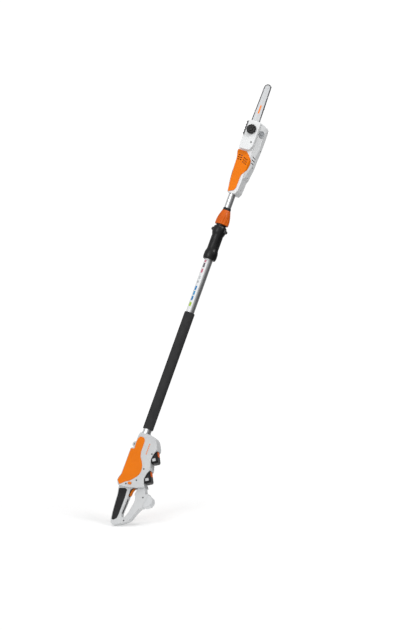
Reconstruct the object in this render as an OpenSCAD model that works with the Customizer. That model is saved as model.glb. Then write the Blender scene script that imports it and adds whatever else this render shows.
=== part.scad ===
// Telescoping pole saw: two-battery control handle, telescoping shaft and motorised saw head.
// Millimetres. The shaft axis is +Z and Z = 0 is the lowest point of the handle loop. The batteries
// and the front bow are on +X. The saw bar, its cover and its knob are on the -Y (right) side.

/* [Control handle] */
// Half depth of the housing, across the shell split
housing_half = 29; // [27:0.5:36]
// Half depth of the handle loop
loop_half = 18; // [16:0.5:24]
// Wall of every moulded shell
wall = 2.5; // [1.8:0.1:3.2]
// Corner rounding of the moulded outlines
soft = 5; // [2:0.5:7]
// Thickness of the side covers
cover_t = 2.4; // [1.6:0.1:3.4]
// How far a side cover is let into the shell
cover_inset = 1.2; // [0.6:0.1:1.6]
// Thickness of the rubber grip pads
pad_t = 2; // [1:0.1:2.4]
// Half depth of the foot under the front bow
foot_half = 21; // [16:0.5:26]

/* [Batteries] */
// Thickness of a battery, front to back
bat_t = 32; // [26:0.5:36]
// Width of a battery, side to side
bat_w = 46; // [38:0.5:46.5]
// Length of a battery
bat_l = 96; // [80:1:100]
// Lean of the battery bays from the shaft
bay_tilt = 28; // [24:1:30]
// Distance between the two bays along the shaft
bay_pitch = 90; // [84:1:96]
// Clearance of a battery in its bay
bay_gap = 0.5; // [0.3:0.1:0.9]
// How far a release latch presses in
latch_travel = 1.5; // [1:0.1:2]

/* [Trigger] */
// Width of the trigger
trigger_w = 14; // [10:0.5:16]
// Radius of the two pivot pins
pin_r = 2; // [1.5:0.1:2.5]
// Pull of the trigger in degrees
trigger_pull = 8; // [4:0.5:9]

/* [Shaft] */
// Outer diameter of the outer tube
outer_d = 37; // [34:0.5:38]
// Outer diameter of the sliding inner tube
inner_d = 31; // [24:0.5:31.5]
// Wall of both tubes
tube_t = 1.5; // [1.2:0.1:1.8]
// Height of the lower end of the outer tube
outer_z = 330; // [326:1:340]
// Height of the upper end of the outer tube
outer_top = 1360; // [1340:1:1364]
// Height of the lower end of the inner tube, shaft closed
inner_z = 560; // [540:1:600]
// Foam grip diameter
foam_d = 46; // [42:0.5:50]
// Height of the lower end of the foam grip
foam_z = 440; // [436:1:460]
// Length of the foam grip
foam_l = 543; // [400:1:560]

/* [Shaft lock] */
// Height where the clamp housing starts
lock_z = 1232; // [1220:1:1240]
// Barrel radius of the clamp housing
lock_r = 25; // [23:0.5:27]
// Largest radius of the lock nut
nut_r = 30.3; // [29:0.1:33]
// Running clearance between pieces that turn or slide on each other
run_gap = 0.05; // [0.02:0.01:0.09]
// Free clearance between moving pieces that never touch
air = 0.4; // [0.3:0.1:0.8]

/* [Saw bar and chain] */
// Height of the drive sprocket axis
drive_z = 1776; // [1774:1:1780]
// Distance from the drive sprocket to the nose sprocket
bar_reach = 258; // [220:1:320]
// Radius of the chain's rivet line round the drive sprocket
drive_r = 21; // [20:0.1:22]
// Radius of the chain's rivet line round the bar nose
nose_r = 14.5; // [13.5:0.1:16]
// Thickness of the bar
bar_t = 4; // [3.4:0.1:4.6]
// Plane of the bar, measured from the shaft axis
bar_y = -33; // [-34:0.5:-32]
// Nominal rivet pitch of the chain
pitch_nominal = 6.35; // [6:0.05:7]
// Slack that the bar can give up when the chain is loosened
bar_slack = 2; // [1:0.1:2.5]

/* [Saw head] */
// Near face of the saw head
head_near = 26; // [25:0.5:27]
// Far face of the saw head
head_far = 38; // [37:0.5:46]
// Outer face of the sprocket cover
cover_face = 44; // [43:0.5:46]
// Radius of the cover knob
knob_r = 22; // [18:0.5:24]
// Depth of the cover knob
knob_t = 12; // [9:0.5:15]
// Radius of the oil cap
oil_cap_r = 15; // [12:0.5:16]

/* [Motor and gears] */
// Gear module
gear_m = 1.5; // [1.48:0.01:1.5]
// Width of the gears
gear_w = 8; // [6:0.5:9]
// Radius of the motor can
motor_r = 26; // [22:0.5:27]
// Length of the motor can
motor_l = 30; // [24:0.5:31]

/* [Hidden] */
$fn = 48;

outer_r = outer_d / 2;
inner_r = inner_d / 2;
bore_r = outer_r - tube_t;
foam_r = foam_d / 2;
eps = 0.01;

// Screws
screw_r = 1.6;
screw_head_r = 3.2;
screw_head_t = 2.4;
boss_r = 4.6;
// Long screws that join the two handle shells, as [x, z]
case_screw_at = [[0, 185], [41, 212], [-25, 232], [-27, 322], [92, 150], [44, 31]];
// Short screws in the bay walls, as [x, z]
bay_screw_at = [[68, 340], [56, 268]];

// Ear for a carrying strap, behind the top of the housing
eye_at = [-30, 363];
eye_r = 12.5;
eye_hole_r = 6;
eye_t = 14;

// Battery bays
bay_x = 91;
bay_z = 305.5;
latch_s = [29, 50];
latch_w = 22;
latch_t = 4.6;
// Length kept clear outside a bay for its battery to slide out
way_out = 46;
// Rounding of a battery's outer end, as [height, inset]
bat_end = [[0, 6.4], [1, 4], [3, 1.9], [6, 0.5], [9, 0]];
cell_l = bat_l - 26;
// Groove along the parting line of the shells
seam_w = 0.6;
seam_t = 0.5;
// How deep the motor's vents go in from outside the cover
vent_depth = 12;

// Shaft lock
lock_top = lock_z + 154;
nut_z = lock_top + 9;
nut_l = 67;
spigot_r = 23.4;
collet_t = 3;
collet_r = inner_r + run_gap + collet_t;

// Trigger pivots, as [x, z]
trigger_at = [34, 190];
lever_at = [53, 184];
lever_t = 4.4;
lever_w = 2.6;

// Gear train: motor pinion, idler, drive gear, stacked down from the drive sprocket
pinion_n = 12;
idler_n = 28;
drive_n = 36;
idler_z = drive_z - gear_m * (drive_n + idler_n) / 2;
motor_z = idler_z - gear_m * (idler_n + pinion_n) / 2;
gear_y = -14;
motor_y = 2;
motor_shaft_r = 2.5;
spindle_r = 4;
idler_pin_r = 3;
bearing_t = 6;

// Head
tube_top = 1592;
socket_z = 1540;
stud_z = 1833;
stud_r = 4;
tank_cap_z = 1829;
cap_from = [30, -head_near];
cap_to = [47, 4];
cap_turn = atan2(cap_to[1] - cap_from[1], cap_to[0] - cap_from[0]);
head_top = 1878;

// Bar and chain
taper = asin((drive_r - nose_r) / bar_reach);
run_l = sqrt(pow(bar_reach, 2) - pow(drive_r - nose_r, 2));
nose_arc = nose_r * (180 - 2 * taper) * PI / 180;
drive_arc = drive_r * (180 + 2 * taper) * PI / 180;
loop_l = 2 * run_l + nose_arc + drive_arc;
link_count = 2 * round(loop_l / (2 * pitch_nominal));
pitch = loop_l / link_count;
link_t = 1.2;
strap_t = 1.1;
strap_y = link_t / 2 + 0.06;
rivet_r = 1.1;
rivet_gap = 0.05;
rail = 2.4;
nose_z = drive_z + bar_reach;

// Extrudes an outline drawn in X and Z from y0 to y1
module slab(y0, y1) {
    translate([0, y1, 0]) rotate([90, 0, 0]) linear_extrude(y1 - y0) children();
}

// Rounds the outer and the inner corners of an outline
module eased(r = soft) {
    offset(r = -r * 0.6, $fn = 24) offset(r = r * 1.6, $fn = 24) offset(delta = -r) children();
}

// A cylinder along Y, from y0 to y1, at [x, z]
module rod(at, r, y0, y1) {
    translate([at[0], y1, at[1]]) rotate([90, 0, 0]) cylinder(h = y1 - y0, r = r);
}

// A round bar bent along points, as a closed tube
module bent_tube(path, r, sides = 8) {
    n = len(path);
    function along(i) = let (a = path[max(i - 1, 0)], b = path[min(i + 1, n - 1)]) (b - a) / norm(b - a);
    function side(i) = let (d = along(i), c = cross(d, [0, 1, 0.01])) c / norm(c);
    ring = [for (i = [0 : n - 1]) let (a = side(i), b = cross(along(i), a))
        for (k = [0 : sides - 1]) path[i] + r * (cos(360 * k / sides) * a + sin(360 * k / sides) * b)];
    faces = concat([[for (k = [sides - 1 : -1 : 0]) k]],
        [for (i = [0 : n - 2]) for (k = [0 : sides - 1]) let (m = (k + 1) % sides)
            [i * sides + k, i * sides + m, (i + 1) * sides + m, (i + 1) * sides + k]],
        [[for (k = [0 : sides - 1]) (n - 1) * sides + k]]);
    polyhedron(points = ring, faces = faces, convexity = 6);
}

// ---------------------------------------------------------------- control handle

module housing_outline() {
    eased() polygon([[-21, 347], [-21, 404], [-16, 417], [34, 418], [51, 413], [63, 404], [71, 392],
        [78, 378], [83, 364], [75, 340], [71, 318], [75, 300], [83, 274], [75, 250], [71, 228],
        [77, 208], [88, 194], [52, 182], [10, 172], [-33, 170], [-45, 191], [-41, 206], [-36, 222],
        [-35, 340]]);
}

module opening_outline() {
    eased(4) polygon([[24.5, 128], [23, 97], [21, 62], [25, 47], [33, 42], [40, 46], [46, 57],
        [52, 75], [56, 97], [59.5, 114], [60.5, 128], [57, 142], [51, 160], [55, 178], [51, 185],
        [33, 178], [25, 168]]);
}

module loop_outline() {
    difference() {
        eased() polygon([[-29, 182], [-31, 165], [-25, 132], [-23, 97], [-19.5, 53], [-15, 22],
            [-11, 8], [0, 0], [10, 2], [27, 12], [46, 23], [66, 39], [73, 53], [79, 70], [87, 88],
            [96, 104], [104.5, 107], [106, 123], [114, 169], [104, 176], [94, 186], [88, 198],
            [60, 215], [0, 205]]);
        opening_outline();
    }
}

module side_cover_outline() {
    eased(5) polygon([[-33, 338], [-17, 341], [-19, 372], [-17, 388], [-10, 399], [6, 399],
        [15, 391], [17, 380], [17, 334], [23, 314], [33, 300], [42, 284], [46.5, 268], [47.5, 255],
        [45, 241], [39, 230], [28, 218], [13, 203], [-8, 191.5], [-19, 181], [-29, 175], [-42.5, 191],
        [-38.5, 207], [-33.5, 222]]);
}

// Places its children in the frame of a bay: 0 is the upper one, 1 the lower one.
// There the battery stands on its outer end, +Z goes into the handle and +X faces the front.
module in_bay(n) {
    translate([bay_x, 0, bay_z - n * bay_pitch]) rotate([0, -bay_tilt, 0]) children();
}

module battery_block(grow, length, r = 7) {
    hull() for (x = [-1, 1], y = [-1, 1])
        translate([x * (bat_t / 2 - r), y * (bat_w / 2 - r), 0]) cylinder(h = length, r = r + grow, $fn = 32);
}

module bay_sleeve(n) {
    in_bay(n) translate([0, 0, -way_out]) battery_block(bay_gap + wall, bat_l + way_out + 6 + wall);
}

module bay_cavity(n) {
    in_bay(n) translate([0, 0, -way_out - 1]) battery_block(bay_gap, bat_l + way_out + 1 + 6);
}

module handle_body() {
    slab(-housing_half, housing_half) housing_outline();
    slab(-loop_half, loop_half) loop_outline();
}

module strap_eye() {
    hull() {
        rod(eye_at, eye_r, -eye_t / 2, eye_t / 2);
        rod([eye_at[0] + 10, eye_at[1]], eye_r + 5, -eye_t / 2, eye_t / 2);
    }
}

module handle_hollow() {
    slab(-housing_half + wall, housing_half - wall) offset(delta = -wall) housing_outline();
    slab(-loop_half + wall, loop_half - wall) offset(delta = -wall) loop_outline();
}

module handle_shell_solid() {
    difference() {
        union() {
            difference() {
                handle_body();
                handle_hollow();
            }
            difference() {
                strap_eye();
                translate([-18.5, -20, 330]) cube([60, 40, 70]);
            }
            // Clamp for the tube, bay sleeves, screw bosses, pivot bosses and the web above the hand
            intersection() {
                handle_body();
                union() {
                    translate([0, 0, outer_z - wall]) cylinder(h = 90, r = outer_r + 3.2);
                    for (n = [0, 1]) bay_sleeve(n);
                    for (p = case_screw_at) rod(p, boss_r, -housing_half, housing_half);
                    for (p = [trigger_at, lever_at]) difference() {
                        rod(p, pin_r + 3, -housing_half, housing_half);
                        rod(p, pin_r + 4, -trigger_w / 2 - 5, trigger_w / 2 + 5);
                    }
                }
            }
            slab(-9, 9) polygon([[49, 150], [47, 158], [55, 179], [64, 182], [66, 142], [57, 142]]);
        }
        rod(eye_at, eye_hole_r, -eye_t, eye_t);
        translate([0, 0, outer_z]) cylinder(h = 100, r = outer_r);
        translate([0, 0, outer_z - wall - 1]) cylinder(h = 20, r = bore_r - 2);
        for (n = [0, 1]) bay_cavity(n);
        for (s = [-1, 1]) slab(s * (housing_half - cover_inset / 2) - cover_inset / 2 - eps,
            s * (housing_half - cover_inset / 2) + cover_inset / 2 + eps)
            offset(delta = 0.3) side_cover_outline();
        for (s = [-1, 1]) slab(s * (loop_half - pad_t / 2) - pad_t / 2 - eps, s * (loop_half - pad_t / 2)
            + pad_t / 2 + eps) offset(delta = 0.2) grip_pad_outline();
        // The trigger and lever slot, and the button's crosswise hole
        translate([13, -trigger_w / 2 - 4.2, 138]) cube([12, trigger_w + 8.4, 34]);
        translate([19, -trigger_w / 2 - 4.2, 160]) cube([40, trigger_w + 8.4, 38]);
        lockout_button_block(air, housing_half + 5);
        for (p = [trigger_at, lever_at]) rod(p, pin_r, -loop_half + wall, loop_half - wall);
        for (p = case_screw_at) screw_room(p, -housing_half, half_at(p));
        for (p = bay_screw_at) {
            rod(p, screw_r, -housing_half, -housing_half + 4.4);
            rod(p, screw_head_r + 0.3, -housing_half - eps, -housing_half + screw_head_t);
        }
        grip_rib_block(0.2);
        slab(-seam_w / 2, seam_w / 2) difference() {
            offset(delta = 1) handle_outline();
            offset(delta = -seam_t) handle_outline();
        }
    }
}

module handle_outline() {
    housing_outline();
    loop_outline();
}

// Half depth of the shell at a screw
function half_at(p) = p[1] < 172 ? loop_half : housing_half;

module screw_room(p, y, half) {
    rod(p, screw_r, -half, half - 6);
    rod(p, screw_head_r + 0.3, -half - eps - 6, -half + screw_head_t + cover_inset);
}

module grip_pad_outline() {
    eased(3) polygon([[-27, 160], [-22, 132], [-20, 97], [-16.5, 53], [-12, 24], [-4, 20],
        [10, 32], [12, 50], [13, 97], [13, 130], [11, 163], [-1, 167]]);
}

module handle_shell_right() {
    color("whitesmoke") intersection() {
        handle_shell_solid();
        translate([-100, -100, -10]) cube([300, 100, 500]);
    }
}

module handle_shell_left() {
    color("whitesmoke") intersection() {
        handle_shell_solid();
        translate([-100, 0, -10]) cube([300, 100, 500]);
    }
}

module side_cover(s) {
    y = housing_half - cover_inset;
    color("darkorange") slab(s > 0 ? y : -y - cover_t, s > 0 ? y + cover_t : -y) side_cover_outline();
}

module side_cover_right() { side_cover(-1); }
module side_cover_left() { side_cover(1); }

module grip_pad(s) {
    y = loop_half - pad_t;
    color("#202020") slab(s > 0 ? y : -y - pad_t - 0.8, s > 0 ? y + pad_t + 0.8 : -y) grip_pad_outline();
}

module grip_pad_right() { grip_pad(-1); }
module grip_pad_left() { grip_pad(1); }

module grip_rib_block(grow) {
    slab(-6 - grow, 6 + grow) polygon([[20 - grow, 126 + grow], [24.6, 126 + grow], [24.6, 60 - grow],
        [18 - grow, 60 - grow]]);
}

module grip_ribs() {
    color("#262626") difference() {
        slab(-6, 6) polygon([[20, 126], [23.7, 126], [22.6, 97], [21, 60], [18, 60]]);
        for (i = [0 : 10]) translate([22.6 + 0.03 * i, -7, 65 + i * 5.6]) rotate([0, -8, 0]) cube([4, 14, 2]);
    }
}

module foot_bumper() {
    color("gainsboro") difference() {
        slab(-foot_half, foot_half) eased(4) polygon([[114.4, 168.6], [133, 159], [138.5, 148],
            [139, 138], [134, 123], [120, 115], [108, 108.6], [105.2, 107.6], [106.4, 123]]);
        slab(-foot_half + 3, foot_half - 3) polygon([[118, 158], [130, 152], [134, 140], [129, 128],
            [112, 118]]);
    }
}

module case_screws() {
    color("#303030") for (p = case_screw_at) {
        half = half_at(p);
        rod(p, screw_r - 0.05, -half + cover_inset + 1, half - 7);
        difference() {
            rod(p, screw_head_r, -half + cover_inset + 0.2, -half + cover_inset + screw_head_t);
            rod(p, 1.4, -half + cover_inset, -half + cover_inset + 1.4, $fn = 6);
        }
    }
}

module bay_screws() {
    color("#303030") for (p = bay_screw_at) {
        rod(p, screw_r - 0.05, -housing_half + 1, -housing_half + 4.2);
        difference() {
            rod(p, screw_head_r, -housing_half + 0.4, -housing_half + screw_head_t);
            rod(p, 1.4, -housing_half, -housing_half + 1.6, $fn = 6);
        }
    }
}

// ---------------------------------------------------------------- trigger and lockout

module trigger() {
    color("darkorange") difference() {
        union() {
            slab(-trigger_w / 2, trigger_w / 2) eased(2) polygon([[25.5, 142], [31, 141.5], [33, 150],
                [33, 160], [39, 176], [39, 190], [29, 190], [27.5, 172], [25.5, 160]]);
            rod(trigger_at, pin_r + 3, -trigger_w / 2, trigger_w / 2);
        }
        rod(trigger_at, pin_r + run_gap, -trigger_w, trigger_w);
        // Room for the torsion spring
        rod(trigger_at, pin_r + 3.4, -4, 4);
        translate([28, -4, 172]) cube([16, 8, 30]);
    }
}

module trigger_spring() {
    turns = 4;
    color("dimgray") bent_tube([for (i = [0 : 4 * 10]) let (a = 36 * i)
        [trigger_at[0] + 3.2 * cos(a), -2.6 + 5.2 * i / 40, trigger_at[1] + 3.2 * sin(a)]], 0.5, 6);
}

module lever_outline() {
    polygon([[57, 181.5], [57, 187], [50, 187.5], [38, 183.5], [28.5, 176], [23.4, 166], [21.2, 148],
        [23.4, 146], [25.2, 150], [27.6, 164], [32, 173], [40.5, 179.2], [50, 182]]);
}

module lockout_lever() {
    inner = trigger_w / 2 + 0.8;
    color("#1b1b1b") difference() {
        union() {
            for (s = [-1, 1]) slab(s > 0 ? inner : -inner - lever_w, s > 0 ? inner + lever_w : -inner)
                lever_outline();
            rod(lever_at, pin_r + 2, -inner, inner);
        }
        rod(lever_at, pin_r + run_gap, -inner - lever_w - 1, inner + lever_w + 1);
        // The cheeks pass either side of the trigger's pivot boss
        rod(trigger_at, pin_r + 3 + air, -inner - lever_w - 1, inner + lever_w + 1);
    }
}

module pivot_pins() {
    color("silver") for (p = [trigger_at, lever_at]) rod(p, pin_r, -loop_half + wall, loop_half - wall);
}

module lockout_button_block(grow, half) {
    hull() for (x = [13, 19]) rod([x, 192], 5.6 + grow, -half, half);
}

module lockout_button() {
    color("darkorange") lockout_button_block(0, housing_half + 2.4);
}

module trigger_switch() {
    color("#404040") {
        translate([-16, -6, 144]) cube([26, 12, 17]);
        translate([10, -2, 150]) cube([3.4, 4, 5]);
    }
}

module control_board() {
    color("darkgreen") translate([-18, 14, 206]) cube([42, 1.6, 92]);
    color("#404040") {
        translate([-14, 15.6 - eps, 216]) cube([18, 7, 24]);
        for (i = [0 : 2]) translate([14, 15.6 - eps, 224 + i * 22]) rotate([-90, 0, 0]) cylinder(h = 8, r = 4.5);
    }
}

module bay_contacts() {
    color("goldenrod") for (n = [0, 1]) in_bay(n) translate([0, 0, bat_l + 1]) {
        translate([-10, -16, 0]) cube([20, 32, 4.6]);
        for (y = [-12, -4, 4, 12]) translate([-5, y - 0.5, -7]) cube([10, 1, 7]);
    }
}

module board_lead() {
    color("#202020") bent_tube([[0, 10, 262], [0, 6, 270], [0, 3, 282], [0, 1, 296], [0, 0, 310], [0, 0, 325],
        [0, 0, outer_z + 8]], 3);
}

// ---------------------------------------------------------------- batteries

module battery(n) {
    pocket = latch_t + latch_travel + air;
    color("#1e1e1e") in_bay(n) difference() {
        union() {
            translate([0, 0, 9]) battery_block(0, bat_l - 9);
            hull() for (e = bat_end) translate([0, 0, e[0]]) battery_block(-e[1], 0.1);
        }
        // Cell chamber, latch pocket and terminal slots
        translate([-bat_t / 2 + 3, -bat_w / 2 + 2.2, 6]) cube([bat_t - 12, bat_w - 4.4, bat_l - 17]);
        translate([bat_t / 2 - pocket + 2.4, -latch_w / 2 - air, latch_s[0] - air])
            cube([pocket, latch_w + 2 * air, latch_s[1] - latch_s[0] + 2 * air]);
        for (y = [-12, -4, 4, 12]) translate([-6, y - 1, bat_l - 8]) cube([12, 2, 10]);
    }
}

module battery_cells(n) {
    color("steelblue") in_bay(n) for (y = [-1, 1])
        translate([-bat_t / 2 + 3 + 9.6, y * 10, 8]) cylinder(h = cell_l, r = 9.2);
}

module battery_latch(n) {
    color("darkorange") in_bay(n) difference() {
        translate([bat_t / 2 - latch_t + 2, -latch_w / 2, latch_s[0]])
            cube([latch_t, latch_w, latch_s[1] - latch_s[0]]);
        for (i = [0 : 3]) translate([bat_t / 2 + 1.4, -latch_w, latch_s[0] + 4 + i * 4.5])
            cube([2, 2 * latch_w, 1.6]);
    }
}

module battery_upper() { battery(0); }
module battery_upper_cells() { battery_cells(0); }
module battery_upper_latch() { battery_latch(0); }
module battery_lower() { battery(1); }
module battery_lower_cells() { battery_cells(1); }
module battery_lower_latch() { battery_latch(1); }

// ---------------------------------------------------------------- shaft and shaft lock

module tube(r, t, z0, z1) {
    translate([0, 0, z0]) difference() {
        cylinder(h = z1 - z0, r = r);
        translate([0, 0, -1]) cylinder(h = z1 - z0 + 2, r = r - t);
    }
}

module outer_tube() { color("silver") tube(outer_r, tube_t, outer_z, outer_top); }

module foam_grip() {
    color("#181818") rotate_extrude() difference() {
        translate([outer_r, foam_z]) square([foam_r - outer_r, foam_l]);
        for (z = [foam_z, foam_z + foam_l - 3]) translate([foam_r - 3, z]) difference() {
            translate([0.01, z == foam_z ? -0.01 : 0.01]) square(3);
            translate([0, z == foam_z ? 3 : 0]) circle(r = 3);
        }
    }
}

module end_collar() {
    color("silver") tube(outer_r + 2.2, 2.2, 418.2, 424);
}

module clamp_housing() {
    color("#1d1d1d") difference() {
        union() {
            rotate_extrude() polygon([[outer_r, lock_z], [lock_r + 1.5, lock_z], [lock_r + 4.6, lock_z + 10],
                [lock_r + 5, lock_z + 30], [lock_r + 3, lock_z + 38], [lock_r, lock_z + 48],
                [lock_r - 0.8, lock_z + 80], [lock_r, lock_z + 112], [lock_r + 4, lock_z + 122],
                [lock_r + 5.4, lock_z + 134], [lock_r + 4, lock_z + 150], [lock_r + 1, lock_top],
                [spigot_r - 1.6, lock_top], [spigot_r - 1.6, lock_top + 9], [spigot_r, lock_top + 9],
                [spigot_r, lock_top + 38], [collet_r + run_gap, lock_top + 38],
                [collet_r + run_gap, outer_top + 1], [outer_r, outer_top + 1]]);
            // Clamping ears
            for (s = [-1, 1]) translate([s * 27, 0, lock_top - 17]) rotate([90, 0, 0])
                cylinder(h = 26, r = 8, center = true);
        }
        translate([0, 0, lock_z - 1]) cylinder(h = outer_top - lock_z + 2, r = outer_r);
        for (s = [-1, 1]) rod([s * 29, lock_top - 17], screw_r + 0.4, -20, 20);
        for (s = [-1, 1]) rod([s * 29, lock_top - 17], 4, -20, -9);
    }
}

module clamp_bolt() {
    color("#505050") for (s = [-1, 1]) {
        rod([s * 29, lock_top - 17], screw_r + 0.3, -9.5, 12);
        rod([s * 29, lock_top - 17], 3.6, -12, -9.2);
    }
}

module collet() {
    color("#555555") difference() {
        union() {
            tube(collet_r, collet_t, outer_top + 2, lock_top + 48);
            translate([0, 0, lock_top + 48]) difference() {
                cylinder(h = 14, r1 = collet_r, r2 = inner_r + 1.2);
                translate([0, 0, -1]) cylinder(h = 16, r = inner_r + run_gap);
            }
        }
        for (a = [0 : 60 : 300]) rotate([0, 0, a]) translate([0, -1, lock_top]) cube([30, 2, 80]);
    }
}

module lock_nut() {
    color("darkorange") difference() {
        rotate_extrude() difference() {
            polygon([[0, nut_z], [nut_r - 1.2, nut_z], [nut_r, nut_z + 3], [nut_r, nut_z + 20],
                [nut_r - 2.4, nut_z + 34], [nut_r - 7, nut_z + 52], [inner_r + 3, nut_z + nut_l],
                [0, nut_z + nut_l]]);
            polygon([[0, nut_z - 1], [spigot_r + run_gap, nut_z - 1], [spigot_r + run_gap, nut_z + 30],
                [collet_r + 0.6, nut_z + 31], [collet_r + 0.6, nut_z + 40],
                [inner_r + 1.9, nut_z + 54], [inner_r + air, nut_z + 55], [inner_r + air, nut_z + nut_l + 1],
                [0, nut_z + nut_l + 1]]);
        }
        // Finger flutes
        for (a = [0 : 30 : 330]) rotate([0, 0, a]) translate([nut_r + 2.2, 0, nut_z + 4])
            cylinder(h = 34, r = 3);
    }
}

module wiper_ring() {
    color("#151515") tube(inner_r + 2.4, 2.4 - air, nut_z + nut_l, nut_z + nut_l + 12);
}

module coiled_lead() {
    color("#151515") tube(9, 4, outer_z + 9, inner_z - 2);
}

module inner_tube() { color("silver") tube(inner_r, tube_t, inner_z, tube_top); }

module glide_bush() {
    color("#303030") translate([0, 0, inner_z + 1]) difference() {
        cylinder(h = 60, r = bore_r - run_gap);
        translate([0, 0, -1]) cylinder(h = 62, r = inner_r);
    }
}

module head_lead() {
    color("#202020") translate([0, 0, inner_z]) cylinder(h = 1610 - inner_z, r = 3.5);
}

// ---------------------------------------------------------------- saw head

module head_outline() {
    eased(6) polygon([[-32, 1742], [-32, 1862], [-24, head_top], [38, 1872], [45, 1864], [47, 1848],
        [47, 1765], [46, 1748], [44, 1728], [43, 1700], [43, 1682], [40, 1660], [37, 1640], [36, 1624],
        [30, 1610], [28.5, 1576], [27, 1556], [20, socket_z], [-19, socket_z], [-22, 1572], [-26, 1602],
        [-28, 1637], [-29.5, 1672], [-31, 1700], [-38, 1727], [-37, 1739]]);
}

// The head's plan: the near right corner is cut back to a slanting face that holds the oil cap
module head_plan() {
    polygon([[-60, -head_near], [cap_from[0], cap_from[1]], [cap_to[0], cap_to[1]], [60, 6],
        [60, head_far - 10], [44, head_far], [-22, head_far], [-60, head_far - 24]]);
}

module head_block(grow) {
    intersection() {
        slab(-head_near - grow, head_far + grow) offset(delta = grow) head_outline();
        translate([0, 0, 1500]) linear_extrude(500) offset(delta = grow) head_plan();
    }
}

module cap_frame() {
    mid = (cap_from + cap_to) / 2;
    translate([mid[0], mid[1], tank_cap_z]) rotate([0, 0, cap_turn - 90]) rotate([0, 90, 0]) children();
}

module head_shell_solid() {
    difference() {
        union() {
            difference() {
                head_block(0);
                head_block(-wall);
            }
            intersection() {
                head_block(0);
                union() {
                    translate([0, 0, socket_z]) cylinder(h = tube_top - socket_z + wall, r = inner_r + 4.2);
                    rod([0, drive_z], spindle_r + 9, -head_near, -head_near + 2 + bearing_t);
                    rod([0, drive_z], spindle_r + 9, 0, 10);
                    // Bulkhead that carries the far bearing
                    slab(8, 10.5) translate([-50, 1740]) square([100, 48]);
                    rod([0, stud_z], 9, -head_near, head_far);
                    cap_frame() translate([0, 0, -14]) cylinder(h = 14, r = oil_cap_r + 3);
                }
            }
        }
        translate([0, 0, socket_z - 10]) cylinder(h = tube_top - socket_z + 10, r = inner_r);
        translate([0, 0, tube_top - 1]) cylinder(h = 10, r = inner_r - tube_t - 2);
        rod([0, drive_z], spindle_r + 7, -head_near + 2, -head_near + bearing_t + 2.1);
        rod([0, drive_z], spindle_r + 7, -0.1, 0.4 + bearing_t);
        rod([0, drive_z], spindle_r + air, -head_near - 1, 9);
        rod([0, stud_z], stud_r, -head_near - 1, head_far - 12);
        cap_frame() translate([0, 0, -12]) cylinder(h = 30, r = oil_cap_r + air);
        cap_frame() translate([0, 0, -40]) cylinder(h = 60, r = 8);
        motor_cover_skin(0.3, cover_inset, 3);
        motor_vents();
        for (z = [1722, 1708, 1694]) translate([34 + (1722 - z) * 0.1, -15, z]) rotate([0, 30, 0]) cube([20, 26, 3.2]);
        for (p = head_screw_at) head_screw_room(p);
        slab(-seam_w / 2, seam_w / 2) difference() {
            offset(delta = 1) head_outline();
            offset(delta = -seam_t) head_outline();
        }
    }
}

// Screws that hold the far half, as [x, y, z]; they go in from the +X side
head_screw_at = [[47, 25, 1850], [47, 25, 1762], [43, 12, 1680], [36.5, 10, 1628], [28, 10, 1568]];

module head_screw_room(p) {
    translate([p[0] - 14, p[1], p[2]]) rotate([0, 90, 0]) cylinder(h = 20, r = screw_r);
    translate([p[0] - screw_head_t - 1, p[1], p[2]]) rotate([0, 90, 0]) cylinder(h = 10, r = screw_head_r + 0.3);
}

module head_screws() {
    color("#303030") {
        for (p = head_screw_at) translate([p[0] - 13, p[1], p[2]]) rotate([0, 90, 0]) {
            cylinder(h = 11, r = screw_r - 0.05);
            translate([0, 0, 10]) cylinder(h = screw_head_t - 0.2, r = screw_head_r);
        }
    }
}

module head_shell_right() {
    color("whitesmoke") intersection() {
        head_shell_solid();
        translate([-100, -100, 1400]) cube([300, 100, 600]);
    }
}

module head_shell_left() {
    color("whitesmoke") intersection() {
        head_shell_solid();
        translate([-100, 0, 1400]) cube([300, 100, 600]);
    }
}

module motor_cover_outline() {
    eased(3) polygon([[-35, 1737], [5, 1737], [20, 1723], [31.5, 1710], [35.6, 1699], [36.2, 1684],
        [35.3, 1667], [33, 1654], [27, 1641], [18.5, 1630], [16.5, 1618], [16.5, 1593], [15.5, 1567], [10, 1555],
        [-3, 1549], [-15, 1543], [-19, 1572], [-23, 1602], [-25, 1637], [-26.5, 1672], [-28, 1700],
        [-35, 1727]]);
}

// A skin over the near face and the slanting corner, from depth in to height out
module motor_cover_skin(grow, depth, height) {
    intersection() {
        difference() {
            head_block(height);
            head_block(-depth);
        }
        slab(-head_near - height - 1, 0) offset(delta = grow) motor_cover_outline();
    }
}

// Slots and square holes through the cover and the shell behind it
module motor_vents() {
    deep = head_near + 6;
    for (z = [1711, 1701.5, 1692], x = [-25, -13.5]) translate([x, -deep, z]) cube([9, vent_depth, 4]);
    for (i = [0 : 2], k = [0 : 2]) translate([3 + 7.5 * i, -deep, 1703 - 10 * k - 3 * i])
        cube([5, vent_depth, 5]);
}

module motor_cover() {
    color("darkorange") difference() {
        motor_cover_skin(0, cover_inset - 0.1, cover_t);
        motor_vents();
    }
}

module involute_gear(n, m, width, hole) {
    pr = n * m / 2;
    br = pr * cos(20);
    tip = pr + 0.8 * m;
    root = pr - 1.1 * m;
    function inv(r) = r <= br ? 0 : let (a = acos(br / r)) tan(a) * 180 / PI - a;
    base = 90 / n * 0.88 + inv(pr);
    rs = [root, max(br, root + 0.1), pr - 0.3 * m, pr, pr + 0.4 * m, tip];
    difference() {
        linear_extrude(width, center = true) polygon([for (k = [0 : n - 1]) each concat(
            [for (r = rs) let (a = 360 * k / n - base + inv(r)) r * [cos(a), sin(a)]],
            [for (i = [len(rs) - 1 : -1 : 0]) let (r = rs[i], a = 360 * k / n + base - inv(r))
                r * [cos(a), sin(a)]])]);
        cylinder(h = width + 2, r = hole, center = true);
    }
}

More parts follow.
